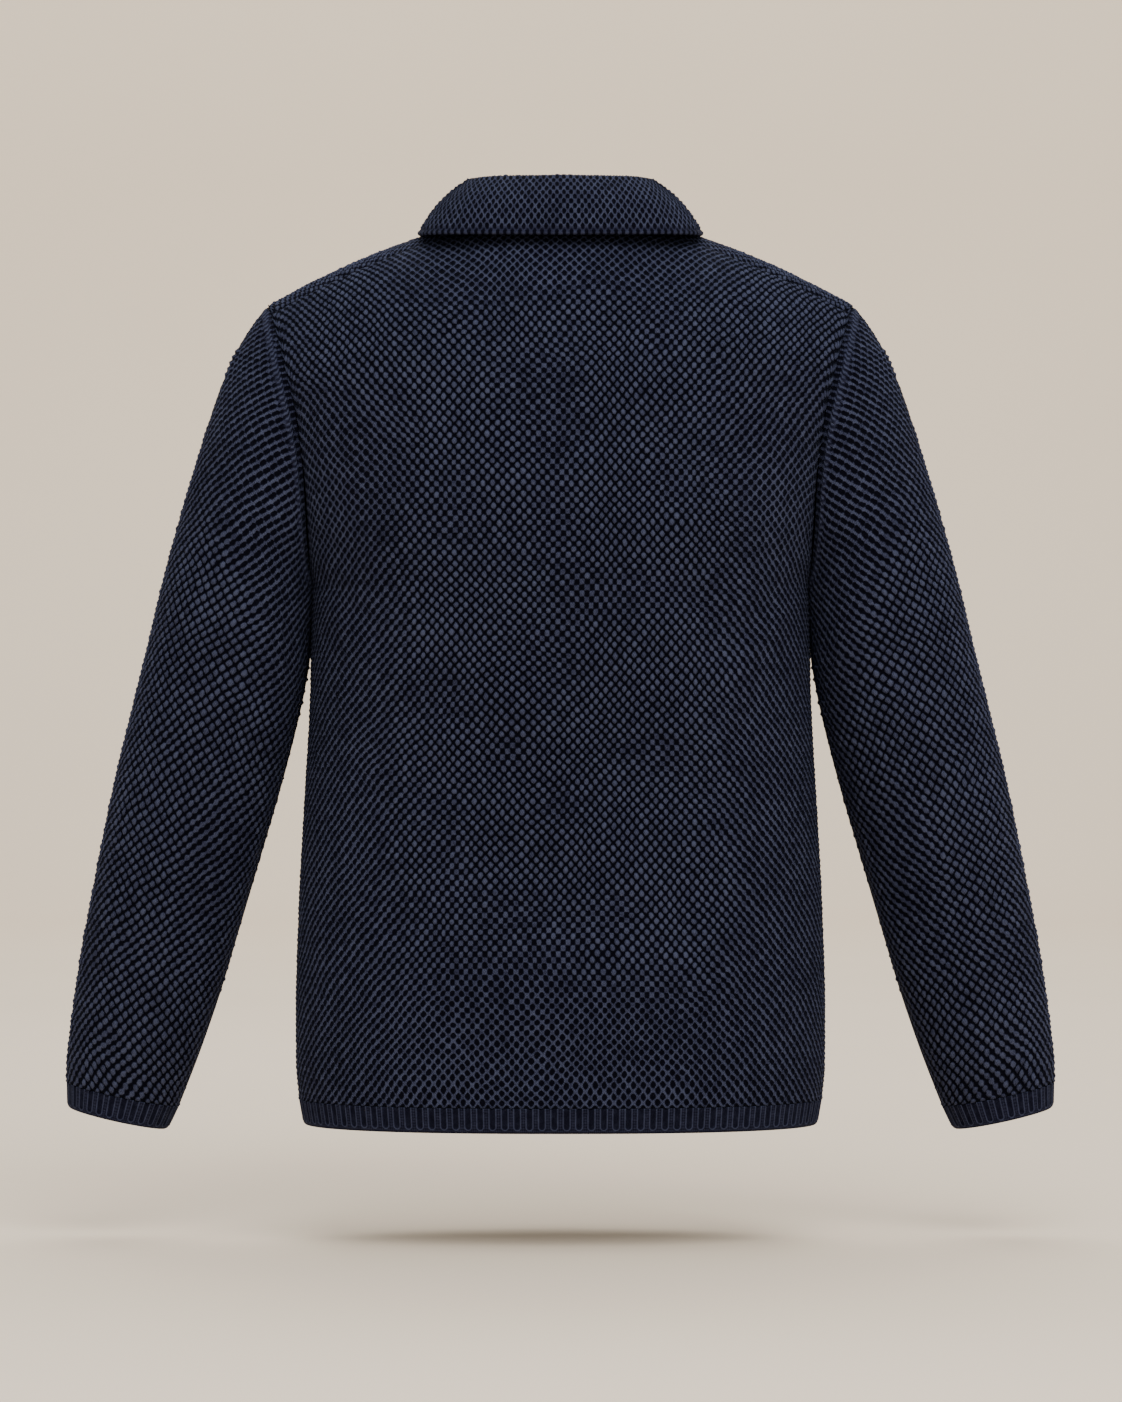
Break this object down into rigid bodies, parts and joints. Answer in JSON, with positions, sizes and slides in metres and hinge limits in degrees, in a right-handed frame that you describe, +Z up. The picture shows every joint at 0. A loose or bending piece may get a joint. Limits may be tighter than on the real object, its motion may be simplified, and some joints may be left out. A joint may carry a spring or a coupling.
{
  "type": "cardigan",
  "caption": "Long-sleeved knitted cardigan with a turned-down collar, buttoned front and narrow ribbed hem and cuffs, filled out as if worn.",
  "frame": {"origin": "middle of the neck at the height of the neck points, where the wearer's shoulders hold the garment", "axes": "+Z up along the wearer; the back faces -Y and the buttoned front +Y; +X is the wearer's right"},
  "size_m": [0.756, 0.2452, 0.7235],
  "materials": {
    "knit": "dull textured knit of navy yarn, raised stitches in a close diamond order",
    "rib": "the same yarn in a shallow rib",
    "button": "dark navy, soft gloss"
  },
  "bodies": {
    "root": {"back": "knit", "front_left": "knit", "front_right": "knit", "sleeve_left": "knit", "sleeve_right": "knit", "collar": "knit", "cuff_left": "rib", "cuff_right": "rib", "hem_back": "rib", "hem_front_left": "rib", "hem_front_right": "rib", "band_left": "rib", "band_right": "rib", "button_1": "button", "button_2": "button", "button_3": "button", "button_4": "button", "button_5": "button", "button_6": "button"}
  },
  "joints": []
}
